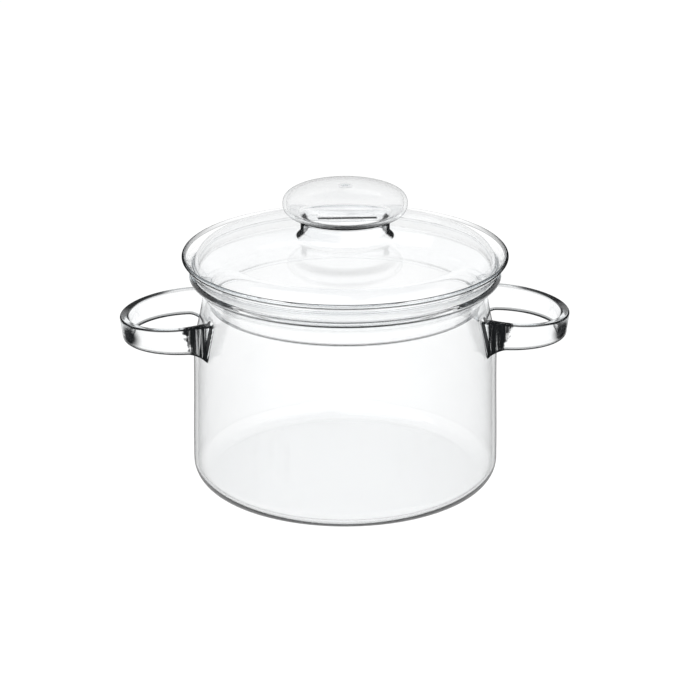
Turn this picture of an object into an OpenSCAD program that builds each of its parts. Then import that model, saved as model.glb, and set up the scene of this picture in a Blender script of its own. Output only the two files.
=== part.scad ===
// Glass cooking pot: a blown pot with two strap handles fused to its wall, and
// a blown lid with an upturned rim, a collar that hangs in the pot's neck and
// a hollow knob. Millimetres, +Z up, origin at the middle of the flat bottom.

/* [Pot] */
// Outside diameter of the pot's wall at its shoulder, where it starts to draw in
body_d = 160; // [140:1:200]
// How far the wall swells out beyond that, just above the bend at the bottom
belly_out = 0.9; // [0:0.1:3]
// Height of the open pot, to the top of its rim
pot_h = 114.7; // [100:0.1:160]
// Thickness of the pot's wall
wall = 2; // [1.5:0.1:2.6]
// Thickness of the pot's bottom
base_t = 2.8; // [2:0.1:5]
// Outside radius of the bend between bottom and wall
corner_r = 11; // [6:0.5:18]
// How far the neck, the narrowest place under the rim, draws in from the wall
neck_in = 5.2; // [3:0.1:8]
// Depth of the neck's narrowest place below the top of the rim
neck_drop = 10.7; // [9.8:0.1:13]
// Depth below the rim at which the wall starts to draw in
shoulder_drop = 44.7; // [38:0.1:60]
// How far the rounded rim stands out beyond the neck
flare_out = 6.9; // [6:0.1:7.7]
// Thickness of the fire-polished rim
rim_bead = 3; // [2.4:0.1:3.4]
// Outside radius of the bend between neck and flared rim
flare_r = 4; // [2:0.1:5]

/* [Handles] */
// How far each handle stands out beyond the wall
handle_reach = 38.5; // [34:0.5:46]
// Diameter of one handle's round loop, over the outside of its strap
handle_w = 67.4; // [56:0.2:76]
// Thickness of the strap
strap_t = 4.6; // [3.2:0.1:6]
// Height of the strap where it leaves its foot
strap_h = 15; // [12:0.1:18]
// Height of the strap at the outer end of the loop, where it was drawn out
strap_end_h = 12.2; // [9:0.1:15]
// Thickness of the strap where it is fused to the wall
foot_t = 6.4; // [6:0.1:12]
// Height of the strap where it is fused to the wall
foot_h = 18.8; // [15:0.1:20]
// How far the middle of the fused foot has sagged below the strap's
foot_sag = 2.2; // [0:0.1:3]
// Length over which the strap widens into its foot
foot_len = 9; // [6:0.5:14]
// Radius of the strap's rounded edges
strap_edge_r = 1.2; // [0.6:0.1:1.5]
// Depth of the strap's middle below the top of the rim, at the wall
handle_drop = 26.5; // [25:0.1:40]
// Angle by which the handles droop outwards, in degrees
handle_droop = 4; // [0:0.5:8]
// Outward lean of the strap at the outer end of the loop, in degrees
strap_lean = 7.2; // [0:0.2:12]

/* [Lid] */
// Gap left between the seated lid and the pot's rim
seat_gap = 0.3; // [0.2:0.05:0.4]
// Clearance between the lid's underside and the inside of the pot's flare
flare_gap = 0.8; // [0.5:0.1:1.2]
// Thickness of the lid's wall
lid_wall = 1.8; // [1.4:0.1:2.2]
// How far the dome's side lies inside the outside of the pot's rim
dome_in = 2.8; // [1.7:0.1:3.7]
// Height of the dome's top above the pot's rim
dome_rise = 19.2; // [17:0.1:26]
// Height above the pot's rim at which the dome's side turns into its shoulder
side_rise = 3.5; // [2.5:0.1:5]
// Radius of the dome's rounded shoulder
dome_shoulder_r = 10.5; // [6:0.5:13]
// How far the lid's upturned rim stands out beyond the pot's rim
lid_rim_out = 3.6; // [2.3:0.1:6.3]
// Height of the lid's rim above the pot's rim
lid_rim_rise = 9.9; // [8:0.1:12]
// Thickness of the lid's rounded rim
lid_bead = 2.2; // [1.8:0.1:2.8]
// Clearance between the collar's lower edge and the inside of the neck
collar_gap = 2.1; // [1.3:0.1:4.8]
// Depth of the collar's lower edge below the pot's rim
collar_drop = 17.2; // [15:0.1:24]
// Thickness of the collar's rounded lower edge
collar_bead = 2; // [1.8:0.1:2.6]

/* [Knob] */
// Outside diameter of the hollow knob
knob_d = 65; // [56:1:72]
// Height of the knob from its underside to its top
knob_h = 18.5; // [14:0.5:24]
// Height of the knob's widest place above the dome's top
knob_rise = 17.3; // [13:0.1:22]
// Outside diameter of the neck under the knob
knob_neck_d = 46.4; // [36:0.2:52]
// Outside radius of the bend between the knob's neck and the dome
knob_bend_r = 4.3; // [3:0.1:6]
// Thickness of the knob's wall
knob_wall = 1.8; // [1.4:0.1:2.4]

/* [Hidden] */
$fn = 128;

// Fullness of the knob's outline: 2 is an ellipse, more is squarer
knob_power = 2.6;
// How far the strap's ends run on inside the neck, where the wall trims them
overrun = 6;
// Steps along the round stretches of the outlines
corner_steps = 8;
belly_steps = 10;
wall_steps = 12;
flare_steps = 5;
bead_steps = 12;
cap_steps = 8;
shoulder_steps = 6;
bend_steps = 6;
knob_steps = 18;
// Rings along a handle's strap, and steps round each corner of its section
strap_steps = 52;
edge_steps = 3;

body_r = body_d / 2;
neck_r = body_r - neck_in;
rim_r = neck_r + flare_out;
neck_z = pot_h - neck_drop;
shoulder_z = pot_h - shoulder_drop;
// Radii of the rounded edges, which are never thinner than their walls
rim_edge_r = max(rim_bead, wall) / 2;
lid_edge_r = max(lid_bead, lid_wall) / 2;
collar_edge_r = max(collar_bead, lid_wall) / 2;
rim_c = [rim_r - rim_edge_r, pot_h - rim_edge_r];
flare_c = [neck_r + flare_r, neck_z];
lid_rim_c = [rim_r + lid_rim_out - lid_edge_r, pot_h + lid_rim_rise - lid_edge_r];
collar_c = [neck_r - wall - collar_gap - collar_edge_r, pot_h - collar_drop + collar_edge_r];
dome_r = rim_r - dome_in;
dome_top_z = pot_h + dome_rise;
side_z = pot_h + side_rise;
knob_r = knob_d / 2;
knob_z = dome_top_z + knob_rise;
knob_neck_r = knob_neck_d / 2;
knob_seam_r = knob_neck_r + knob_bend_r;

// Points on an arc, or on a stretched arc where ry is given
function arc(c, r, a0, a1, steps, ry = undef) =
    [for (i = [0:steps])
        let (a = a0 + (a1 - a0) * i / steps)
        [c[0] + r * cos(a), c[1] + (is_undef(ry) ? r : ry) * sin(a)]];
// The round edge of a wall of thickness t, from its outer to its inner face
function bead(c, r, t, from, turn) =
    arc(c, r, from, from + turn * (360 - acos((r - t) / r)), bead_steps);
function reversed(points) = [for (i = [len(points) - 1:-1:0]) points[i]];
function smooth(t) = t * t * (3 - 2 * t);
// Lean from upright, in degrees, of the line that passes outside one circle
// and inside another, from the vector between centres and the radii's sum
function lean(v, radii) = atan2(v[0], v[1]) + asin(radii / norm(v));
// The direction square to such a line, towards its lower, outer side
function outward(a) = [cos(a), -sin(a)];

flare_lean = lean(rim_c - flare_c, flare_r + rim_edge_r);
rest_lean = lean(lid_rim_c - rim_c, rim_edge_r + seat_gap + lid_edge_r);

// The wall's outline, drawn in from the outside by the thickness t
function pot_line(t, bottom_t) = concat(
    [[0, bottom_t]],
    arc([body_r + belly_out - corner_r, corner_r], corner_r - t, -90, 0, corner_steps, corner_r - bottom_t),
    [for (i = [1:belly_steps])
        [body_r - t + belly_out * (1 + cos(180 * i / belly_steps)) / 2,
         corner_r + (shoulder_z - corner_r) * i / belly_steps]],
    [for (i = [1:wall_steps])
        [body_r - t - (body_r - neck_r) * smooth(i / wall_steps),
         shoulder_z + (neck_z - shoulder_z) * i / wall_steps]],
    arc(flare_c, flare_r + t, 180, 180 - flare_lean, flare_steps));

module vessel() color([0.86, 0.92, 0.93, 0.4]) rotate_extrude()
    polygon(concat(
        pot_line(0, 0), bead(rim_c, rim_edge_r, wall, -flare_lean, 1),
        reversed(pot_line(wall, base_t))));

// The pot without its hollow, which trims the feet of the handles
module pot_block() rotate_extrude()
    polygon(concat(pot_line(0, 0), [[0, rim_c[1]]]));

// Middle of the strap in plan: a circle that runs into the wall at both ends
loop_r = (handle_w - strap_t) / 2;
end_lean = strap_end_h / 2 * tan(strap_lean);
end_x = body_r + handle_reach - strap_t / 2 - end_lean;
loop_x = end_x - loop_r;
// Angle about the loop's middle, from its outer end, at a distance r from the axis
function turn_at(r) = 180 - acos((loop_x * loop_x + loop_r * loop_r - r * r) / (2 * loop_x * loop_r));
wall_turn = turn_at(body_r);
root_turn = turn_at(neck_r - overrun);
wall_x = loop_x + loop_r * cos(wall_turn);
handle_z = pot_h - handle_drop;

// How much of the foot's widening is reached at an angle round the loop
function foot_share(a) =
    let (from_wall = loop_r * (wall_turn - abs(a)) * PI / 180)
    pow(max(0, min(1, 1 - from_wall / foot_len)), 2);

// A rectangle with rounded corners, counted round from its lower left corner
function rounded(w, h, r) = [
    for (q = [0:3], i = [0:edge_steps])
        let (a = 180 + 90 * q + 90 * i / edge_steps,
             sx = q == 0 || q == 3 ? -1 : 1,
             sy = q < 2 ? -1 : 1)
        [sx * (w / 2 - r) + r * cos(a), sy * (h / 2 - r) + r * sin(a)]];

// The strap's section at an angle round the loop: it droops, narrows and leans
// out towards the outer end, and widens and sags into its foot at the wall
function strap_ring(a) =
    let (grow = foot_share(a),
         out_by = max(0, loop_x + loop_r * cos(a) - wall_x),
         far = out_by / (end_x - wall_x),
         drawn_h = strap_h + (strap_end_h - strap_h) * far,
         w = strap_t + (foot_t - strap_t) * grow,
         h = drawn_h + (foot_h - drawn_h) * grow,
         z = handle_z - tan(handle_droop) * out_by - foot_sag * grow)
    [for (p = rounded(w, h, strap_edge_r))
        let (r = loop_r + p[0] + p[1] * tan(strap_lean) * far)
        [loop_x + r * cos(a), r * sin(a), z + p[1]]];

// A closed skin over rings with equally many points, which run clockwise as
// seen from outside the first ring, so that the skin faces outwards
module sweep(rings) {
    n = len(rings[0]);
    last = len(rings) - 1;
    polyhedron(
        points = [for (ring = rings) each ring],
        faces = concat(
            [[for (j = [0:n - 1]) j]],
            [for (i = [0:last - 1], j = [0:n - 1])
                [i * n + j, (i + 1) * n + j, (i + 1) * n + (j + 1) % n]],
            [for (i = [0:last - 1], j = [0:n - 1])
                [i * n + j, (i + 1) * n + (j + 1) % n, i * n + (j + 1) % n]],
            [[for (j = [n - 1:-1:0]) last * n + j]]));
}

module handle() color([0.82, 0.89, 0.9, 0.45]) difference() {
    sweep([for (i = [0:strap_steps]) strap_ring(root_turn * (1 - 2 * i / strap_steps))]);
    pot_block();
}

module right_handle() handle();
module left_handle() mirror([1, 0, 0]) handle();

// The dome's cap is part of a ball that runs smoothly into the shoulder
cap_h = dome_top_z - side_z;
shoulder_in = dome_r - dome_shoulder_r;
ball_r = (dome_shoulder_r * dome_shoulder_r - shoulder_in * shoulder_in - cap_h * cap_h)
    / (2 * (dome_shoulder_r - cap_h));
ball_z = dome_top_z - ball_r;
cap_angle = atan2(shoulder_in, side_z - ball_z);

// Where the lid's underside comes nearest the pot's rim, and where it leaves
// the flare for the collar
rest_p = rim_c - outward(rest_lean) * (rim_edge_r + seat_gap);
under_r = flare_r + wall + flare_gap;
under_end = flare_c - outward(flare_lean) * under_r;
// Where a line through p and a line through q cross, each at its own lean
function crossing(p, a, q, b) =
    let (u = [sin(a), cos(a)], v = [sin(b), cos(b)], d = q - p)
    p + u * (d[0] * v[1] - d[1] * v[0]) / (u[0] * v[1] - u[1] * v[0]);
inner_end = under_end - outward(flare_lean) * lid_wall;
inner_top = crossing(inner_end, flare_lean, [dome_r - lid_wall, side_z], 0);
groove = crossing(rest_p - outward(rest_lean) * lid_wall, rest_lean, [dome_r, side_z], 0);

// The dome's outline from the knob's seam to its side, drawn in by t
function dome_line(t) =
    let (from = asin(knob_seam_r / (ball_r - t)))
    concat(
        arc([0, ball_z], ball_r - t, 90 - from, 90 - cap_angle, cap_steps),
        arc([shoulder_in, side_z], dome_shoulder_r - t, 90 - cap_angle, 0, shoulder_steps));

// Dome, upturned rim and the sloping band under them that rests in the flare
module lid_dome() color([0.88, 0.93, 0.94, 0.4]) rotate_extrude()
    polygon(concat(
        dome_line(0), [groove],
        reversed(bead(lid_rim_c, lid_edge_r, lid_wall, -rest_lean, 1)),
        [rest_p, under_end, inner_end, inner_top],
        reversed(dome_line(lid_wall))));

// Collar under the dome, from the foot of the sloping band to its rounded edge
module lid_collar() color([0.88, 0.93, 0.94, 0.4]) rotate_extrude()
    polygon(concat(
        arc(flare_c, under_r, 180 - flare_lean, 180, flare_steps),
        bead(collar_c, collar_edge_r, lid_wall, 0, -1),
        arc(flare_c, under_r + lid_wall, 180, 180 - flare_lean, flare_steps)));

// Half of the knob's outline, drawn in by t, from its neck round to its top,
// where rounding may leave the cosine a little below zero
function knob_point(t, a) = [
    (knob_r - t) * pow(max(0, cos(a)), 2 / knob_power),
    knob_z + sign(a) * (knob_h / 2 - t) * pow(abs(sin(a)), 2 / knob_power)];
function knob_line(t) =
    let (low = -acos(pow((knob_neck_r - t) / (knob_r - t), knob_power / 2)))
    [for (i = [0:knob_steps]) knob_point(t, low + (90 - low) * i / knob_steps)];
function knob_neck_line(t) =
    let (seam_z = ball_z + sqrt(pow(ball_r - t, 2) - knob_seam_r * knob_seam_r),
         bend_z = ball_z + sqrt(ball_r * ball_r - knob_seam_r * knob_seam_r) + knob_bend_r)
    concat([[knob_seam_r, seam_z]],
        arc([knob_seam_r, bend_z], knob_bend_r + t, 270, 180, bend_steps));

module lid_knob() color([0.84, 0.9, 0.91, 0.45]) rotate_extrude()
    polygon(concat(
        knob_neck_line(0), knob_line(0),
        reversed(knob_line(knob_wall)), reversed(knob_neck_line(knob_wall))));

vessel();
left_handle();
right_handle();
lid_dome();
lid_collar();
lid_knob();
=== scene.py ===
# A clear blown-glass cooking pot with its lid, standing on a pale floor in plain studio light.
# The pot with its two handles is one fused body of glass, and so is the lid with its collar and knob.
# Lengths are in metres, and angles in degrees unless a function says radians. +Z is up, and the pot
# stands on the origin.
import math

import bmesh
import bpy
import numpy as np
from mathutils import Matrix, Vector


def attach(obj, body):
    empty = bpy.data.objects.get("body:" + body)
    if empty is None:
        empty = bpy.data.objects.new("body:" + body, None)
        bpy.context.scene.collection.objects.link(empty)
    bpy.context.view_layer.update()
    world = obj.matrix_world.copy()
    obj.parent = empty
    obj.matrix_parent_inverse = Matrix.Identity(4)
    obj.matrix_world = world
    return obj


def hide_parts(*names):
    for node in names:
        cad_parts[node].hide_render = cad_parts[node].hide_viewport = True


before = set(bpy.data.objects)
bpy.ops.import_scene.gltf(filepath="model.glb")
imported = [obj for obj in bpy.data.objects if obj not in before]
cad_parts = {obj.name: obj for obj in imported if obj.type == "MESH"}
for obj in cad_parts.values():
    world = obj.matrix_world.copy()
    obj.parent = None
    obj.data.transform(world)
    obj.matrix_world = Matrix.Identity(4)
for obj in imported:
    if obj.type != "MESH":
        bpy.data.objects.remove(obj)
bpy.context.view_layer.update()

MM = 0.001

# Pot
BODY_R = 80 * MM
BELLY_OUT = 0.9 * MM
POT_H = 114.7 * MM
WALL = 2 * MM
BASE_T = 2.8 * MM
CORNER_R = 11 * MM
NECK_IN = 5.2 * MM
NECK_DROP = 10.7 * MM
SHOULDER_DROP = 44.7 * MM
FLARE_OUT = 6.9 * MM
FLARE_R = 4 * MM
RIM_BEAD = 3 * MM

# Handles
HANDLE_REACH = 38.5 * MM
HANDLE_W = 67.4 * MM
HANDLE_DROP = 26.5 * MM
HANDLE_DROOP = 4
STRAP_T = 4.6 * MM
STRAP_H = 15 * MM
STRAP_END_H = 12.2 * MM
STRAP_LEAN = 7.2
STRAP_EDGE_R = 1.2 * MM
FOOT_T = 6.4 * MM
FOOT_H = 18.8 * MM
FOOT_SAG = 2.2 * MM
FOOT_LEN = 9 * MM
# Radius of the fillet where the molten foot ran out on the wall, and the share of it that is drawn
FOOT_FILLET = 1.6 * MM
FILLET_SHARE = 0.96
# How far inside the neck the strap's ends run on, to be cut off in the middle of the wall
ROOT_OVERRUN = 6 * MM

# Lid
SEAT_GAP = 0.3 * MM
FLARE_GAP = 0.8 * MM
LID_WALL = 1.8 * MM
DOME_IN = 2.8 * MM
DOME_RISE = 19.2 * MM
DOME_SHOULDER_R = 10.5 * MM
SIDE_RISE = 3.5 * MM
LID_RIM_OUT = 3.6 * MM
LID_RIM_RISE = 9.9 * MM
LID_BEAD = 2.2 * MM
COLLAR_GAP = 2.1 * MM
COLLAR_DROP = 17.2 * MM
COLLAR_BEAD = 2 * MM
# Radii of the melted corners where dome, rim and collar run together
GROOVE_FILLET = 0.8 * MM
SEAM_FILLET = 1.5 * MM

# Knob
KNOB_R = 32.5 * MM
KNOB_H = 18.5 * MM
KNOB_RISE = 17.3 * MM
KNOB_NECK_R = 23.2 * MM
KNOB_BEND_R = 4.3 * MM
KNOB_WALL = 1.8 * MM
KNOB_POWER = 2.6
# The shallow mark in the knob's top, where it was broken off the blowing iron
PONTIL_R = 5 * MM
PONTIL_DEPTH = 0.35 * MM
# How far the bends between neck and knob run on along them, outside and in the hollow
NECK_EASE = 1.5 * MM
HOLLOW_EASE = 4 * MM

# Places that follow from those sizes
NECK_R = BODY_R - NECK_IN
NECK_Z = POT_H - NECK_DROP
SHOULDER_Z = POT_H - SHOULDER_DROP
FLARE_C = np.array([NECK_R + FLARE_R, NECK_Z])
RIM_R = NECK_R + FLARE_OUT
RIM_C = np.array([RIM_R, POT_H]) - RIM_BEAD / 2
LID_RIM_C = np.array([RIM_R + LID_RIM_OUT, POT_H + LID_RIM_RISE]) - LID_BEAD / 2
COLLAR_R = NECK_R - WALL - COLLAR_GAP
COLLAR_C = np.array([COLLAR_R - COLLAR_BEAD / 2, POT_H - COLLAR_DROP + COLLAR_BEAD / 2])
DOME_R = RIM_R - DOME_IN
DOME_TOP_Z = POT_H + DOME_RISE
SIDE_Z = POT_H + SIDE_RISE
KNOB_Z = DOME_TOP_Z + KNOB_RISE
KNOB_SEAM_R = KNOB_NECK_R + KNOB_BEND_R

# How finely the glass is drawn
TURNS = 256
ARC_STEPS = 24
BEAD_STEPS = 32
KNOB_STEPS = 160
FILLET_STEPS = 8
LONGEST_STEP = 1.5 * MM
RIM_STEP = 0.4 * MM
STRAP_RINGS = 200
STRAP_EDGE_STEPS = 6
STRAP_FACE_STEPS = 6
# The power by which the strap's rings crowd together towards the wall
STRAP_CROWDING = 1.35

# Camera, as the photograph was taken: from a little left of the front, looking down on the lid
CAMERA_TURN = -2.25
CAMERA_TILT = 20.38
CAMERA_DISTANCE = 1.4
CAMERA_LENS_MM = 136.02
SENSOR_MM = 36
AIM_SIDE = 2.52 * MM
AIM_HEIGHT = 69.76 * MM


# Outlines in the plane of the axis, as rows of radius and height


def unit(t):
    """t, kept from 0 to 1."""
    return np.clip(t, 0, 1)


def smooth(t):
    """An even rise from 0 to 1, made to start and end gently."""
    return t * t * (3 - 2 * t)


def on_circle(centre, r, a):
    return centre + r * np.array([math.cos(math.radians(a)), math.sin(math.radians(a))])


def along(a):
    """The upward direction of a line that leans out by a."""
    return np.array([math.sin(math.radians(a)), math.cos(math.radians(a))])


def outward(a):
    """The direction square to such a line, towards its lower, outer side."""
    return np.array([math.cos(math.radians(a)), -math.sin(math.radians(a))])


def lean(v, radii):
    """Lean from upright of the line that passes outside one circle and inside another."""
    return math.degrees(math.atan2(v[0], v[1]) + math.asin(radii / math.hypot(*v)))


def crossing(p, a, q, b):
    """Where a line through p and a line through q cross, each at its own lean."""
    u, v, d = along(a), along(b), q - p
    return p + u * (d[0] * v[1] - d[1] * v[0]) / (u[0] * v[1] - u[1] * v[0])


def arc(centre, r, start, end, steps=ARC_STEPS, ry=None):
    """Points on an arc, or on a stretched arc where ry is given."""
    a = np.radians(np.linspace(start, end, steps + 1))
    return np.column_stack([centre[0] + r * np.cos(a), centre[1] + (ry or r) * np.sin(a)])


def bead(centre, r, t, start, turn):
    """The round edge of a wall of thickness t, from one of its faces to the other."""
    return arc(centre, r, start, start + turn * (360 - math.degrees(math.acos((r - t) / r))), BEAD_STEPS)


def melted(before, corner, after, r):
    """The corner between two straight stretches, rounded off by radius r."""
    u = (before - corner) / np.linalg.norm(before - corner)
    v = (after - corner) / np.linalg.norm(after - corner)
    half = math.acos(np.clip(u @ v, -1, 1)) / 2
    middle = (u + v) / np.linalg.norm(u + v)
    centre = corner + middle * r / math.sin(half)
    first, last = corner + u * r / math.tan(half), corner + v * r / math.tan(half)
    start = math.degrees(math.atan2(*(first - centre)[::-1]))
    turn = math.degrees(math.atan2(*(last - centre)[::-1])) - start
    turn = (turn + 180) % 360 - 180
    return arc(centre, r, start, start + turn, FILLET_STEPS)


def eased(before, after, reach):
    """Two lines that meet in a corner, joined by a bend that leaves each of them that far from it."""
    corner = after[0]
    before = before[np.linalg.norm(before - corner, axis=1) > reach]
    after = after[np.linalg.norm(after - corner, axis=1) > reach]
    t = np.linspace(0, 1, 2 * FILLET_STEPS + 1)[:, None]
    bend = (1 - t) ** 2 * before[-1] + 2 * t * (1 - t) * corner + t**2 * after[0]
    return np.vstack([before[:-1], bend, after[1:]])


def spaced(line):
    """The same line with points added wherever two lie too far apart, which near the rims is sooner."""
    rows = [line[:1]]
    for p, q in zip(line[:-1], line[1:]):
        by_rim = min(p[0], q[0]) > COLLAR_C[0] - COLLAR_BEAD and min(p[1], q[1]) > NECK_Z
        longest = RIM_STEP if by_rim else LONGEST_STEP
        steps = max(1, math.ceil(np.linalg.norm(q - p) / longest))
        rows.append(p + (q - p) * np.linspace(0, 1, steps + 1)[1:, None])
    return np.vstack(rows)


# Pot's outline

FLARE_LEAN = lean(RIM_C - FLARE_C, FLARE_R + RIM_BEAD / 2)


def pot_line(t, bottom_t):
    """The pot's outline from the middle of its bottom to its flare, drawn in by t."""
    share = np.linspace(0, 1, ARC_STEPS + 1)
    swell = BELLY_OUT * (1 + np.cos(math.pi * share)) / 2
    belly = np.column_stack([BODY_R - t + swell, CORNER_R + (SHOULDER_Z - CORNER_R) * share])
    neck = np.column_stack([
        BODY_R - t - NECK_IN * smooth(share),
        SHOULDER_Z + (NECK_Z - SHOULDER_Z) * share,
    ])
    return np.vstack([
        [[0, bottom_t]],
        arc([BODY_R + BELLY_OUT - CORNER_R, CORNER_R], CORNER_R - t, -90, 0, ry=CORNER_R - bottom_t),
        belly[1:],
        neck[1:],
        arc(FLARE_C, FLARE_R + t, 180, 180 - FLARE_LEAN),
    ])


def pot_outline():
    return np.vstack([
        pot_line(0, 0),
        bead(RIM_C, RIM_BEAD / 2, WALL, -FLARE_LEAN, 1),
        pot_line(WALL, BASE_T)[::-1],
    ])


# Lid's outline

REST_LEAN = lean(LID_RIM_C - RIM_C, RIM_BEAD / 2 + SEAT_GAP + LID_BEAD / 2)
# The dome's cap is part of a ball that runs smoothly into the shoulder
CAP_H = DOME_TOP_Z - SIDE_Z
SHOULDER_IN = DOME_R - DOME_SHOULDER_R
BALL_R = (DOME_SHOULDER_R**2 - SHOULDER_IN**2 - CAP_H**2) / (2 * (DOME_SHOULDER_R - CAP_H))
BALL_Z = DOME_TOP_Z - BALL_R
CAP_ANGLE = math.degrees(math.atan2(SHOULDER_IN, SIDE_Z - BALL_Z))
# Height at which the cap meets the bend of the knob's neck
SEAM_Z = BALL_Z + math.sqrt(BALL_R**2 - KNOB_SEAM_R**2)
# Where the lid's underside leaves the flare for the collar
UNDER_R = FLARE_R + WALL + FLARE_GAP
UNDER_END = FLARE_C - outward(FLARE_LEAN) * UNDER_R


def dome_line(t):
    """The dome's outline from the knob's seam to its side, drawn in by t."""
    start = math.degrees(math.asin(KNOB_SEAM_R / (BALL_R - t)))
    return np.vstack([
        arc([0, BALL_Z], BALL_R - t, 90 - start, 90 - CAP_ANGLE),
        arc([SHOULDER_IN, SIDE_Z], DOME_SHOULDER_R - t, 90 - CAP_ANGLE, 0)[1:],
    ])


def knob_point(a, t):
    """Radius and height of the knob's outline, drawn in by t, at one angle or many, in radians."""
    r = (KNOB_R - t) * unit(np.cos(a)) ** (2 / KNOB_POWER)
    z = KNOB_Z + np.sign(a) * (KNOB_H / 2 - t) * np.abs(np.sin(a)) ** (2 / KNOB_POWER)
    return np.stack([r, z], axis=-1)


def knob_line(t):
    """The knob's outline from the top of its neck to its top, drawn in by t."""
    low = -math.acos(((KNOB_NECK_R - t) / (KNOB_R - t)) ** (KNOB_POWER / 2))
    line = knob_point(np.linspace(low, math.pi / 2, KNOB_STEPS + 1), t)
    line[-1, 0] = 0
    return line


def neck_line(t):
    """The bend from the dome's cap up into the knob's neck, drawn in by t."""
    return arc([KNOB_SEAM_R, SEAM_Z + KNOB_BEND_R], KNOB_BEND_R + t, 270, 180)


def pontil(line):
    """Presses the shallow mark into the top of the knob."""
    share = unit(1 - line[:, 0] / PONTIL_R)
    on_top = line[:, 1] > KNOB_Z
    return line - np.column_stack([0 * share, on_top * PONTIL_DEPTH * smooth(share)])


def over_knob():
    """The knob's outside, from its top down to the dome."""
    knob = knob_line(0)
    neck = spaced(np.vstack([knob[:1], neck_line(0)[::-1]]))
    return eased(pontil(knob[::-1]), neck, NECK_EASE)


def inside_knob():
    """The knob's hollow, from the dome up to its top."""
    hollow = knob_line(KNOB_WALL)
    neck = spaced(np.vstack([neck_line(KNOB_WALL)[1:], hollow[:1]]))
    return eased(neck, hollow, HOLLOW_EASE)


def lid_outline():
    """The lid in one line: over knob and dome, round the rim, down the collar and back up inside."""
    rest = RIM_C - outward(REST_LEAN) * (RIM_BEAD / 2 + SEAT_GAP)
    groove = crossing(rest - outward(REST_LEAN) * LID_WALL, REST_LEAN, np.array([DOME_R, SIDE_Z]), 0)
    inner_end = UNDER_END - outward(FLARE_LEAN) * LID_WALL
    inner_top = crossing(inner_end, FLARE_LEAN, np.array([DOME_R - LID_WALL, SIDE_Z]), 0)
    dome, inside = dome_line(0), dome_line(LID_WALL)
    rim = bead(LID_RIM_C, LID_BEAD / 2, LID_WALL, -REST_LEAN, 1)[::-1]
    collar = np.vstack([
        arc(FLARE_C, UNDER_R, 180 - FLARE_LEAN, 180),
        bead(COLLAR_C, COLLAR_BEAD / 2, LID_WALL, 0, -1),
        arc(FLARE_C, UNDER_R + LID_WALL, 180, 180 - FLARE_LEAN),
    ])
    return np.vstack([
        over_knob(),
        dome[1:],
        melted(dome[-1], groove, rim[0], GROOVE_FILLET),
        rim,
        melted(rim[-1], rest, UNDER_END, SEAM_FILLET),
        collar,
        melted(inner_end, inner_top, inside[-1], SEAM_FILLET),
        inside[::-1],
        inside_knob(),
    ])


# Meshes


def new_piece(name, points, faces):
    mesh = bpy.data.meshes.new(name)
    mesh.from_pydata(points, [], faces)
    mesh.update()
    piece = bpy.data.objects.new(name, mesh)
    bpy.context.scene.collection.objects.link(piece)
    return piece


def quads(rings, count):
    """Faces between neighbouring rings of points, which all have the same count and are closed."""
    faces = []
    for i in range(0, (rings - 1) * count, count):
        for j in range(count):
            on = (j + 1) % count
            faces.append((i + j, i + on, i + count + on, i + count + j))
    return faces


def turned(name, outline):
    """A closed skin: an outline that starts and ends on the axis, turned once round it."""
    outline = spaced(outline)
    ring = outline[1:-1]
    a = np.linspace(0, 2 * math.pi, TURNS, endpoint=False)
    round_points = np.stack([
        np.outer(ring[:, 0], np.cos(a)),
        np.outer(ring[:, 0], np.sin(a)),
        np.repeat(ring[:, 1:], TURNS, axis=1),
    ], axis=-1).reshape(-1, 3)
    ends = [(0, 0, outline[0, 1]), (0, 0, outline[-1, 1])]
    first, last = len(round_points), len(round_points) + 1
    top_row = (len(ring) - 1) * TURNS
    faces = quads(len(ring), TURNS)
    for k in range(TURNS):
        on = (k + 1) % TURNS
        faces.append((first, on, k))
        faces.append((last, top_row + k, top_row + on))
    return new_piece(name, [tuple(p) for p in round_points] + ends, faces)


def facing_out(piece):
    """Turns every face outwards and smooths the shading."""
    work = bmesh.new()
    work.from_mesh(piece.data)
    bmesh.ops.recalc_face_normals(work, faces=work.faces)
    work.to_mesh(piece.data)
    work.free()
    piece.data.shade_smooth()


def combined(piece, other, operation):
    """Applies a boolean of the other closed mesh to the piece, and removes the other."""
    modifier = piece.modifiers.new(operation, "BOOLEAN")
    modifier.operation = operation
    modifier.solver = "EXACT"
    modifier.object = other
    depsgraph = bpy.context.evaluated_depsgraph_get()
    result = bpy.data.meshes.new_from_object(piece.evaluated_get(depsgraph))
    piece.modifiers.clear()
    piece.data = result
    bpy.data.objects.remove(other)
    return piece


# Handles

LOOP_R = (HANDLE_W - STRAP_T) / 2
END_LEAN = STRAP_END_H / 2 * math.tan(math.radians(STRAP_LEAN))
END_X = BODY_R + HANDLE_REACH - STRAP_T / 2 - END_LEAN
LOOP_X = END_X - LOOP_R
HANDLE_Z = POT_H - HANDLE_DROP


def turn_at(r):
    """Radians round the loop, from its outer end, at which it is r from the pot's axis."""
    return math.pi - math.acos((LOOP_X**2 + LOOP_R**2 - r * r) / (2 * LOOP_X * LOOP_R))


WALL_TURN = turn_at(BODY_R)
ROOT_TURN = turn_at(NECK_R - ROOT_OVERRUN)
WALL_X = LOOP_X + LOOP_R * math.cos(WALL_TURN)


def wall_radius(z):
    """Outside radius of the pot's wall at a height in the handles' reach."""
    return BODY_R - NECK_IN * smooth(unit((z - SHOULDER_Z) / (NECK_Z - SHOULDER_Z)))


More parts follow.
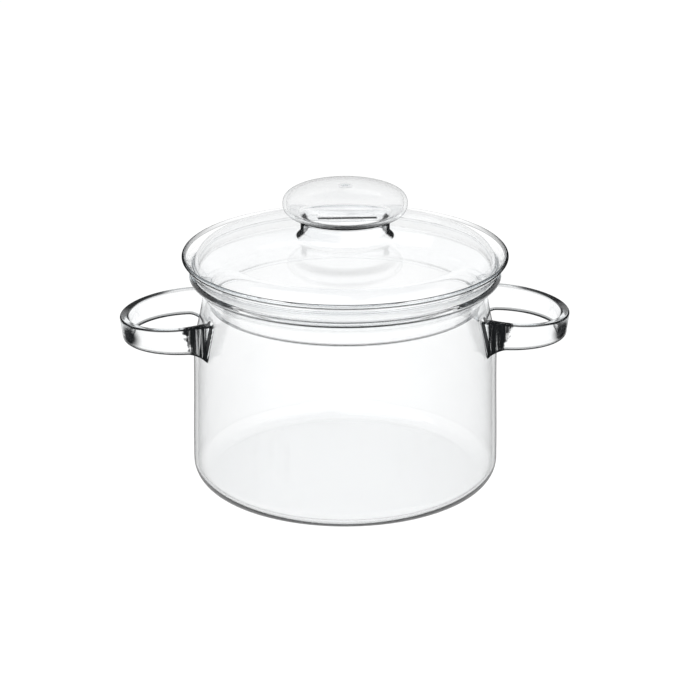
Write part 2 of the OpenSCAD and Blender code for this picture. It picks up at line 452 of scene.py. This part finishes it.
def strap_at(a):
    """Thickness, height, middle height and outward tilt of the strap, at radians a round the loop."""
    grow = unit(1 - LOOP_R * (WALL_TURN - abs(a)) / FOOT_LEN) ** 2
    out_by = np.maximum(0.0, LOOP_X + LOOP_R * np.cos(a) - WALL_X)
    far = out_by / (END_X - WALL_X)
    drawn_h = STRAP_H + (STRAP_END_H - STRAP_H) * far
    w = STRAP_T + (FOOT_T - STRAP_T) * grow
    h = drawn_h + (FOOT_H - drawn_h) * grow
    z = HANDLE_Z - math.tan(math.radians(HANDLE_DROOP)) * out_by - FOOT_SAG * grow
    return w, h, z, math.tan(math.radians(STRAP_LEAN)) * far


def strap_section(w, h):
    """The strap's section, a rounded rectangle: points across and up it, and where each faces."""
    offsets, facings = [], []
    inner = np.array([w / 2, h / 2]) - STRAP_EDGE_R
    middles = [inner * signs for signs in ((1, -1), (1, 1), (-1, 1), (-1, -1))]
    for k, middle in enumerate(middles):
        for step in range(STRAP_EDGE_STEPS + 1):
            a = math.radians(-90 + 90 * k + 90 * step / STRAP_EDGE_STEPS)
            facings.append(np.array([math.cos(a), math.sin(a)]))
            offsets.append(middle + STRAP_EDGE_R * facings[-1])
        begin, end = offsets[-1], middles[(k + 1) % 4] + STRAP_EDGE_R * facings[-1]
        for step in range(1, STRAP_FACE_STEPS):
            offsets.append(begin + (end - begin) * step / STRAP_FACE_STEPS)
            facings.append(facings[-1])
    return np.array(offsets), np.array(facings)


def strap_ring(a):
    """The strap's section at radians a round the loop, with the fillet that spreads it on the wall."""
    w, h, z, tilt = strap_at(a)
    offsets, facings = strap_section(w, h)

    def placed(at):
        r = LOOP_R + at[:, 0] + at[:, 1] * tilt
        return np.column_stack([LOOP_X + r * math.cos(a), r * math.sin(a), z + at[:, 1]])

    clear = from_axis(placed(offsets)) - wall_radius(z + offsets[:, 1])
    near_share = unit(1 - clear / FOOT_FILLET)
    spread = FOOT_FILLET * (1 - np.sqrt(unit(1 - (FILLET_SHARE * near_share) ** 2)))
    return placed(offsets + facings * spread[:, None])


def strap(name, side):
    """One handle: a flat strap swept round its loop, on the left or right side of the pot."""
    share = np.linspace(-1, 1, STRAP_RINGS + 1)
    turns = ROOT_TURN * np.sign(share) * (1 - (1 - np.abs(share)) ** STRAP_CROWDING)
    rings = np.array([strap_ring(a) for a in turns])
    rings[:, :, 0] *= side
    count = rings.shape[1]
    last = (len(rings) - 1) * count
    ends = [tuple(range(count)), tuple(last + j for j in reversed(range(count)))]
    piece = new_piece(name, [tuple(p) for p in rings.reshape(-1, 3)], ends + quads(len(rings), count))
    facing_out(piece)
    return piece


# Painted dark lines round the glass, standing in for the dark surroundings that glass refracts at its
# edges, kept on the points of its mesh
PAINTED_DARK_COLOUR = (0.01, 0.011, 0.012, 1)
LINE_STEEPNESS = 8
LINE_FADE = 0.1
LINE_FULL_SHARE = 0.98
# Each place has a soft share of painted dark, which grows evenly as a ray comes to graze it, a steep
# share, which comes in only close to its edge, and the reach of a full line from its edge
WALL_LINES = (0.1, 1.2, 0)
FLARE_LINES = (0, 0.08, 0)
STRAP_LINES = (0.03, 0.6, 0)
DOME_LINES = (0.03, 0.4, 0)
LID_FLARE_LINES = (0, 0.1, 0)
COLLAR_LINES = (0.03, 0.3, 0)
KNOB_LINES = (0.08, 0.8, 0)
KNOB_NECK_LINES = (0.1, 0.8, 0.42)
# Reach of the lid rim's painted dark line at the front, at the sides and at the back, on its outer and
# inner half
LID_RIM_REACH_OUT = (0.74, 0.42, 0.35)
LID_RIM_REACH_IN = (0.74, 0.06, 0.3)
# Where those places end: below the flare, at the strap's foot, at the dome's side and above the seam
NECK_BLEND = 9 * MM
STRAP_CLEAR = 0.05 * MM
LID_FLARE_CLEAR = 0.3 * MM
KNOB_NECK_CLEAR = 0.5 * MM
BEAD_SLACK = 1.02

# A drawn band has faded away at this many of its half widths from its middle
BAND_END = 1.5


def rim_line(centre, r, slope, drop):
    """A place on a leaning wall, that far down from where its bead begins."""
    return on_circle(centre, r, -slope) - along(slope) * drop


# Thin rings of painted dark refraction in the glass's round edges: the middle of each in the outline's
# plane, its half width, and the painted dark that it holds at the front, at the sides and at the back
POT_RINGS = [
    (rim_line(RIM_C, RIM_BEAD / 2, FLARE_LEAN, 0.6 * MM), 1.0 * MM, (0.98, 0.4, 0)),
    (on_circle(RIM_C, RIM_BEAD / 2, 39), 0.4 * MM, (0.75, 0.1, 0)),
    (on_circle(RIM_C, RIM_BEAD / 2, 100), 0.25 * MM, (0.25, 0.12, 0)),
]
LID_RINGS = [
    (rim_line(LID_RIM_C, LID_BEAD / 2, REST_LEAN, 0.4 * MM), 0.5 * MM, (0.75, 0.7, 0)),
    (on_circle(COLLAR_C, COLLAR_BEAD / 2, 15), 0.5 * MM, (0.95, 0.6, 0)),
    (knob_point(math.radians(-33), 0), 2.4 * MM, (0.98, 0, 0)),
]
# A straight line of painted dark refraction across the front of the knob, over the clear lens that its
# hollow makes there
LENS_Z = KNOB_Z + 1.94 * MM
LENS_SAG_PER_M = 4.85
LENS_HALF_LEN = 15 * MM
LENS_HALF_W = 0.45 * MM
LENS_SHARE = 0.98
# Painted dark refraction along the strap's rounded edges, at its front half and at its back half: along
# the bottom and the top of its inner face, and along the bottom and the top of its outer face
FRONT_EDGE_SHARES = (0.5, 0.98, 0.98, 0.98)
BACK_EDGE_SHARES = (0.98, 0.3, 0.6, 0.95)
STRAP_TURN_LEN = 12 * MM
EDGE_FADE = 0.25
TOP_EDGE_NARROWING = 0.2
EDGE_VARIES = 0.08
# Painted dark refraction in the strap's outer end: a crescent along its top at the back, between two
# angles round the loop, and a patch low on its front, round one angle
CRESCENT_FROM = 6
CRESCENT_TO = 78
CRESCENT_FADE = 14
CRESCENT_DEPTH = STRAP_EDGE_R / 4
CRESCENT_SHARE = 0.92
PATCH_AT = 31
PATCH_HALF_TURN = 12
PATCH_HALF_H = 5 * MM
PATCH_SHARPNESS = 1.2
# Painted dark refraction on the thick feet at the front, with clear streaks, longer at the top, and a
# ragged edge
FOOT_DARK_LEN = 13 * MM
FOOT_TOP_LONGER = 0.5
FOOT_DARK_IN = 0.8 * MM
FOOT_SPREAD = 0.5 * MM
RAG_SIZE = 3 * MM
RAG_SHARE = 0.6
STREAK_WIDTH = 1.1 * MM
STREAK_LENGTH = 30 * MM
STREAK_CLEAR_SHARE = 0.7


def mesh_points(piece):
    points = np.zeros(len(piece.data.vertices) * 3)
    piece.data.vertices.foreach_get("co", points)
    return points.reshape(-1, 3)


def from_axis(points):
    return np.hypot(points[:, 0], points[:, 1])


def on_bead(points, centre, r):
    """Which points lie on the bead that runs round the pot at a centre in the outline's plane."""
    return np.hypot(from_axis(points) - centre[0], points[:, 2] - centre[1]) < r * BEAD_SLACK


def band(away, half):
    """Full in the middle of a drawn band of that half width, and fading towards its ends."""
    return unit(BAND_END - away / half)


def round_about(points, values):
    """A value for each point, from those at the front, at the sides and at the back."""
    front = -points[:, 1] / np.maximum(from_axis(points), MM)
    ahead, beside, behind = values
    return np.where(front > 0, ahead, behind) * front**2 + beside * (1 - front**2)


# Painted dark refraction in the rings, for each point
def rings_dark(points, rings):
    held = np.zeros(len(points))
    for middle, half, values in rings:
        away = np.hypot(from_axis(points) - middle[0], points[:, 2] - middle[1])
        held = np.maximum(held, smooth(band(away, half)) * round_about(points, values))
    return held


class StrapPlaces:
    """Where points lie on a strap, on the left one and on the right one alike."""

    def __init__(self, points):
        out, self.y = abs(points[:, 0]) - LOOP_X, points[:, 1]
        a = np.arctan2(abs(self.y), out)
        w, self.h, z, tilt = strap_at(a)
        self.turn = np.degrees(a)
        self.from_wall = LOOP_R * (WALL_TURN - a)
        self.up = points[:, 2] - z
        self.across = np.hypot(out, self.y) - LOOP_R - self.up * tilt
        self.past_face = abs(self.across) - w / 2
        self.past_top = abs(self.up) - self.h / 2


# Painted dark refraction along a strap's rounded edges, for each point
def edge_dark(at):
    kind = 2 * (at.across > 0) + (at.up > 0)
    back = smooth(unit(0.5 + at.y / STRAP_TURN_LEN))
    share = np.choose(kind, FRONT_EDGE_SHARES) * (1 - back) + np.choose(kind, BACK_EDGE_SHARES) * back
    corner = np.minimum(at.past_face, at.past_top) / STRAP_EDGE_R + 1
    return share * smooth(unit((corner - TOP_EDGE_NARROWING * (at.up > 0)) / EDGE_FADE))


# Painted dark refraction in the strap's outer end: its crescent, and below, its patch
def crescent_dark(at):
    inside = unit(np.minimum(at.turn - CRESCENT_FROM, CRESCENT_TO - at.turn) / CRESCENT_FADE)
    return CRESCENT_SHARE * inside * (at.y > 0) * (at.past_top > -CRESCENT_DEPTH)


def patch_dark(at):
    away = np.hypot((at.turn - PATCH_AT) / PATCH_HALF_TURN, at.up / PATCH_HALF_H)
    return unit(PATCH_SHARPNESS * (BAND_END - away)) * (at.y < 0) * (at.across > 0)


def foot_reach(at):
    """1 at the wall and 0 where the foot's painted dark refraction has ended, which the material makes
    ragged.
    """
    length = FOOT_DARK_LEN * (1 + FOOT_TOP_LONGER * at.up / at.h)
    on_foot = band(np.maximum(at.past_face, at.past_top), FOOT_SPREAD)
    off_wall = unit(1 + (at.from_wall + FOOT_DARK_IN) / FOOT_SPREAD)
    return unit(1 - at.from_wall / length) * (at.y < 0) * on_foot * off_wall


# Painted dark refraction across the knob's lens, for each point
def lens_dark(points):
    away = abs(points[:, 2] - LENS_Z + LENS_SAG_PER_M * points[:, 0] ** 2)
    on_front = (points[:, 1] < 0) & (abs(points[:, 0]) < LENS_HALF_LEN)
    outside = from_axis(points) > KNOB_R - KNOB_WALL / 2
    return LENS_SHARE * band(away, LENS_HALF_W) * on_front * outside


def mark(piece, lines, painted_darks):
    """Writes the painted dark refraction on the points of a piece: the lines' shares, and the dark of
    edges, feet and rings.
    """
    for name, values in (("lines", lines), ("painted_darks", painted_darks)):
        layer = piece.data.attributes.new(name, "FLOAT_VECTOR", "POINT")
        layer.data.foreach_set("vector", np.asarray(values, np.float32).ravel())


def mark_pot(pot):
    points = mesh_points(pot)
    height = points[:, 2]
    flared = smooth(unit((height - NECK_Z) / NECK_BLEND + 1))[:, None]
    lines = np.array(WALL_LINES) * (1 - flared) + np.array(FLARE_LINES) * flared
    off_wall = from_axis(points) > wall_radius(height) + STRAP_CLEAR
    on_strap = off_wall & (height > SHOULDER_Z) & (height < NECK_Z)
    lines[on_strap] = STRAP_LINES
    at = StrapPlaces(points)
    # Painted dark refraction on the strap's edges, crescent, patch and front feet, and in the rim's
    # rings
    held = np.maximum.reduce([edge_dark(at), crescent_dark(at), patch_dark(at)])
    painted_darks = [held * on_strap, foot_reach(at) * on_strap, rings_dark(points, POT_RINGS)]
    mark(pot, lines, np.column_stack(painted_darks))


def mark_lid(lid):
    points = mesh_points(lid)
    r, height = from_axis(points), points[:, 2]
    neck_from, neck_to = SEAM_Z + KNOB_NECK_CLEAR, knob_line(0)[0, 1]
    lines = np.tile(DOME_LINES, (len(points), 1)).astype(float)
    lines[(r > DOME_R + LID_FLARE_CLEAR) | (height < SIDE_Z)] = LID_FLARE_LINES
    lines[height < UNDER_END[1]] = COLLAR_LINES
    lines[height > neck_to] = KNOB_LINES
    lines[(height > neck_from) & (height <= neck_to) & (r < KNOB_SEAM_R)] = KNOB_NECK_LINES
    outer = round_about(points, LID_RIM_REACH_OUT)
    inner = round_about(points, LID_RIM_REACH_IN)
    reach = np.where(r > LID_RIM_C[0], outer, inner)
    on_rim = on_bead(points, LID_RIM_C, LID_BEAD / 2)
    lines[on_rim] = np.column_stack([0 * reach, 0 * reach, reach])[on_rim]
    # Painted dark refraction in the lid's rings and across the knob's lens
    held = np.maximum(rings_dark(points, LID_RINGS), lens_dark(points))
    mark(lid, lines, np.column_stack([0 * held, 0 * held, held]))


# Shader nodes


class Wire:
    """One output of a node. Sums, differences, products and powers of wires add Math nodes."""

    def __init__(self, nodes, socket):
        self.nodes, self.socket = nodes, socket

    def maths(self, operation, a, b):
        return self.nodes.add("ShaderNodeMath", {"operation": operation}, {0: a, 1: b})["Value"]

    def __add__(self, other):
        return self.maths("ADD", self, other)

    __radd__ = __add__

    def __sub__(self, other):
        return self.maths("SUBTRACT", self, other)

    def __rsub__(self, other):
        return self.maths("SUBTRACT", other, self)

    def __mul__(self, other):
        return self.maths("MULTIPLY", self, other)

    __rmul__ = __mul__

    def __pow__(self, power):
        return self.maths("POWER", self, power)


class Nodes:
    """The node tree of a material or of the world."""

    def __init__(self, owner):
        owner.use_nodes = True
        self.tree = owner.node_tree
        self.tree.nodes.clear()

    def add(self, kind, settings=None, inputs=None):
        """Makes a node: its settings first, then its sockets' values or wires. Gives its outputs."""
        node = self.tree.nodes.new(kind)
        for name, value in (settings or {}).items():
            setattr(node, name, value)
        for name, value in (inputs or {}).items():
            socket = node.inputs[name] if isinstance(name, int) else self.named(node.inputs, name)
            if isinstance(value, Wire):
                self.tree.links.new(value.socket, socket)
            else:
                socket.default_value = value
        return {s.name: Wire(self, s) for s in node.outputs if s.enabled}

    @staticmethod
    def named(sockets, name):
        return next(s for s in sockets if s.enabled and s.name == name)

    def point_values(self, name):
        """The three values that the mesh keeps at each point under that name."""
        vector = self.add("ShaderNodeAttribute", {"attribute_name": name})["Vector"]
        parts = self.add("ShaderNodeSeparateXYZ", {}, {"Vector": vector})
        return parts["X"], parts["Y"], parts["Z"]

    def noise(self, place, size, detail):
        """Clouds of about that size, round a middle value of a half."""
        inputs = {"Vector": place, "Scale": 1 / size, "Detail": detail}
        return self.add("ShaderNodeTexNoise", {}, inputs)["Fac"]

    def rise(self, value, low, high, kind="LINEAR"):
        """0 up to the low value, 1 from the high one on, and rising between them."""
        inputs = {"Value": value, "From Min": low, "From Max": high}
        return self.add("ShaderNodeMapRange", {"interpolation_type": kind}, inputs)["Result"]

    def capped(self, value, most=1.0):
        return self.add("ShaderNodeClamp", {}, {"Value": value, "Max": most})["Result"]


# Clear glass, faintly grey-blue in its depth
GLASS_IOR = 1.47
GLASS_DEPTH_COLOUR = (0.7, 0.88, 0.98, 1)
GLASS_DENSITY = 10.0
SHADOW_COLOUR = (0.97, 0.98, 0.98, 1)
# Hand-blown unevenness: the size of its swells and their height
SWELL_SIZE = 28 * MM
SWELL_HEIGHT = 0.02 * MM
# Between which values of its noise a thing comes in: the swells' hold on the painted dark of the strap's
# edges, the clear streaks in the feet's painted dark, and the feet's painted dark refraction
UNEVEN_FROM, UNEVEN_TO = 0.35, 0.6
STREAK_FROM, STREAK_TO = 0.5, 0.6
FOOT_FROM, FOOT_TO = 0.3, 0.4


def foot_dark(n, place, reach):
    """The feet's painted dark refraction, with its ragged edge and upright clear streaks."""
    rags = n.noise(place, RAG_SIZE, 2.0)
    dark = n.rise(reach + (rags - 0.5) * RAG_SHARE, FOOT_FROM, FOOT_TO)
    streak_place = n.add("ShaderNodeVectorMath", {"operation": "MULTIPLY"}, {
        0: place, 1: (1 / STREAK_WIDTH, 1 / STREAK_WIDTH, 1 / STREAK_LENGTH),
    })["Vector"]
    clear = n.rise(n.noise(streak_place, 1, 1.0), STREAK_FROM, STREAK_TO)
    return dark * (1 - clear * STREAK_CLEAR_SHARE)


def blown_glass(name):
    """Clear glass, faintly tinted in its depth, with painted dark refraction where a ray grazes it and
    where its points hold it, and with hand work's swells.
    """
    material = bpy.data.materials.new(name)
    n = Nodes(material)
    place = n.add("ShaderNodeTexCoord")["Object"]
    swells = n.noise(place, SWELL_SIZE, 1.0)
    bump = n.add("ShaderNodeBump", {}, {
        "Height": swells, "Distance": SWELL_HEIGHT, "Strength": 1.0,
    })["Normal"]
    glass = n.add("ShaderNodeBsdfPrincipled", {}, {
        "Base Color": (1, 1, 1, 1), "Roughness": 0.0, "IOR": GLASS_IOR,
        "Transmission Weight": 1.0, "Normal": bump,
    })["BSDF"]
    # A near-black surface, mixed in as painted dark refraction where the glass is grazed and where its
    # points hold it
    line = n.add("ShaderNodeBsdfPrincipled", {}, {
        "Base Color": PAINTED_DARK_COLOUR, "Roughness": 0.5, "Specular IOR Level": 0.0,
    })["BSDF"]
    grazing = n.add("ShaderNodeLayerWeight", {}, {"Blend": 0.5, "Normal": bump})["Facing"]
    soft, steep, reach = n.point_values("lines")
    full = n.capped((grazing - 1 + reach) * (1 / LINE_FADE))
    drawn = grazing * soft + grazing ** LINE_STEEPNESS * steep + full * LINE_FULL_SHARE
    # Painted dark refraction that the mesh's points hold, on strap edges, feet and rings
    edge_painted_dark, foot_painted_dark, ring_painted_dark = n.point_values("painted_darks")
    uneven = n.rise(swells, UNEVEN_FROM, UNEVEN_TO)
    painted_dark = edge_painted_dark * (1 - uneven * EDGE_VARIES) + foot_dark(n, place, foot_painted_dark) + ring_painted_dark
    dark_share = n.capped(drawn + painted_dark, LINE_FULL_SHARE)
    seen = n.add("ShaderNodeMixShader", {}, {0: dark_share, 1: glass, 2: line})["Shader"]
    let_through = n.add("ShaderNodeBsdfTransparent", {}, {"Color": SHADOW_COLOUR})["BSDF"]
    shadow_ray = n.add("ShaderNodeLightPath")["Is Shadow Ray"]
    surface = n.add("ShaderNodeMixShader", {}, {0: shadow_ray, 1: seen, 2: let_through})["Shader"]
    depth = n.add("ShaderNodeVolumeAbsorption", {}, {
        "Color": GLASS_DEPTH_COLOUR, "Density": GLASS_DENSITY,
    })["Volume"]
    n.add("ShaderNodeOutputMaterial", {}, {"Surface": surface, "Volume": depth})
    return material


# Studio: what the glass sees of it is white low down and dark from some angle up
SKY_WHITE_TO = 48
SKY_DARK_FROM = 62
SKY_DARK_COLOUR = (0.14, 0.2, 0.27, 1)
AMBIENT_LEVEL = 0.6
FLOOR_R = 3.0
FLOOR_GLOW = 0.93
FLOOR_COLOUR = (0.14, 0.14, 0.14, 1)
# The floor lies a hair under the pot, which touches it only here and there
FLOOR_GAP = 0.1 * MM
# Soft round lamps: where each stands, its width and its watts
LAMPS = {
    "key_lamp": ((-0.9, -0.7, 1.6), 2.2, 18),
    "fill_lamp": ((1.2, -0.9, 1.3), 2.0, 6),
}
LAMP_AIM = (0, 0, 0.05)
# Light crosses many walls of glass before it is out again
LIGHT_BOUNCES = 32
MIRROR_BOUNCES = 16


def studio_world():
    """White to the camera; to the glass, white low down and dark overhead; plain light on the rest."""
    world = bpy.data.worlds.new("studio")
    bpy.context.scene.world = world
    n = Nodes(world)
    path = n.add("ShaderNodeLightPath")
    direct, mirrored, bent = path["Is Camera Ray"], path["Is Glossy Ray"], path["Is Transmission Ray"]
    by_glass = mirrored + bent - mirrored * bent
    direction = n.add("ShaderNodeTexCoord")["Generated"]
    height = n.add("ShaderNodeSeparateXYZ", {}, {"Vector": direction})["Z"]
    white_to, dark_from = (math.sin(math.radians(a)) for a in (SKY_WHITE_TO, SKY_DARK_FROM))
    up = n.rise(height, white_to, dark_from, "SMOOTHSTEP")
    colour = n.add("ShaderNodeMix", {"data_type": "RGBA"}, {
        "Factor": up * by_glass * (1 - direct), "A": (1, 1, 1, 1), "B": SKY_DARK_COLOUR,
    })["Result"]
    level = direct + (1 - direct) * (by_glass + (1 - by_glass) * AMBIENT_LEVEL)
    sky = n.add("ShaderNodeBackground", {}, {"Color": colour, "Strength": level})["Background"]
    n.add("ShaderNodeOutputWorld", {}, {"Surface": sky})


def pale_floor():
    """A round white floor that glows faintly enough to keep the pot's shadow."""
    a = np.linspace(0, 2 * math.pi, TURNS, endpoint=False)
    edge = [(FLOOR_R * math.cos(t), FLOOR_R * math.sin(t), -FLOOR_GAP) for t in a]
    floor = new_piece("floor", edge, [tuple(range(TURNS))])
    material = bpy.data.materials.new("pale_floor")
    n = Nodes(material)
    glow = n.add("ShaderNodeEmission", {}, {"Color": (1, 1, 1, 1), "Strength": FLOOR_GLOW})["Emission"]
    paint = n.add("ShaderNodeBsdfDiffuse", {}, {"Color": FLOOR_COLOUR})["BSDF"]
    both = n.add("ShaderNodeAddShader", {}, {0: glow, 1: paint})["Shader"]
    n.add("ShaderNodeOutputMaterial", {}, {"Surface": both})
    floor.data.materials.append(material)


def aimed(data, name, place, aim):
    """Stands a lamp or a camera at a place and turns it to what it is aimed at."""
    holder = bpy.data.objects.new(name, data)
    holder.location = place
    holder.rotation_euler = (Vector(aim) - Vector(place)).to_track_quat("-Z", "Y").to_euler()
    bpy.context.scene.collection.objects.link(holder)
    return holder


def soft_lamp(name, place, size, watts):
    lamp = bpy.data.lights.new(name, "AREA")
    lamp.shape = "DISK"
    lamp.size = size
    lamp.energy = watts
    aimed(lamp, name, place, LAMP_AIM)


def camera():
    turn, tilt = math.radians(CAMERA_TURN), math.radians(CAMERA_TILT)
    aim = Vector((AIM_SIDE * math.cos(turn), AIM_SIDE * math.sin(turn), AIM_HEIGHT))
    back = Vector((math.sin(turn) * math.cos(tilt), -math.cos(turn) * math.cos(tilt), math.sin(tilt)))
    data = bpy.data.cameras.new("camera")
    data.lens = CAMERA_LENS_MM
    data.sensor_width = SENSOR_MM
    place = Vector((0, 0, AIM_HEIGHT)) + back * CAMERA_DISTANCE
    bpy.context.scene.camera = aimed(data, "camera", place, aim)


# The two bodies of glass


def glass_pot():
    """Vessel and both handles, fused into one body of glass."""
    pot = turned("glass_pot", pot_outline())
    facing_out(pot)
    for name, side in (("left_strap", -1), ("right_strap", 1)):
        core = turned("core", np.vstack([pot_line(WALL / 2, BASE_T / 2), [[0, POT_H]]]))
        facing_out(core)
        handle = combined(strap(name, side), core, "DIFFERENCE")
        pot = combined(pot, handle, "UNION")
    facing_out(pot)
    mark_pot(pot)
    pot.data.materials.clear()
    pot.data.materials.append(blown_glass("pot_glass"))
    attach(pot, "pot")
    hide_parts("vessel", "left_handle", "right_handle")


def glass_lid():
    """Dome, upturned rim, collar and hollow knob, fused into one body of glass."""
    lid = turned("glass_lid", lid_outline())
    facing_out(lid)
    mark_lid(lid)
    lid.data.materials.append(blown_glass("lid_glass"))
    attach(lid, "lid")
    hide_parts("lid_dome", "lid_collar", "lid_knob")


def main():
    glass_pot()
    glass_lid()
    studio_world()
    pale_floor()
    for name, (place, size, watts) in LAMPS.items():
        soft_lamp(name, place, size, watts)
    camera()
    scene = bpy.context.scene
    scene.view_settings.view_transform = "Standard"
    scene.cycles.max_bounces = LIGHT_BOUNCES
    scene.cycles.transmission_bounces = LIGHT_BOUNCES
    scene.cycles.glossy_bounces = MIRROR_BOUNCES


main()
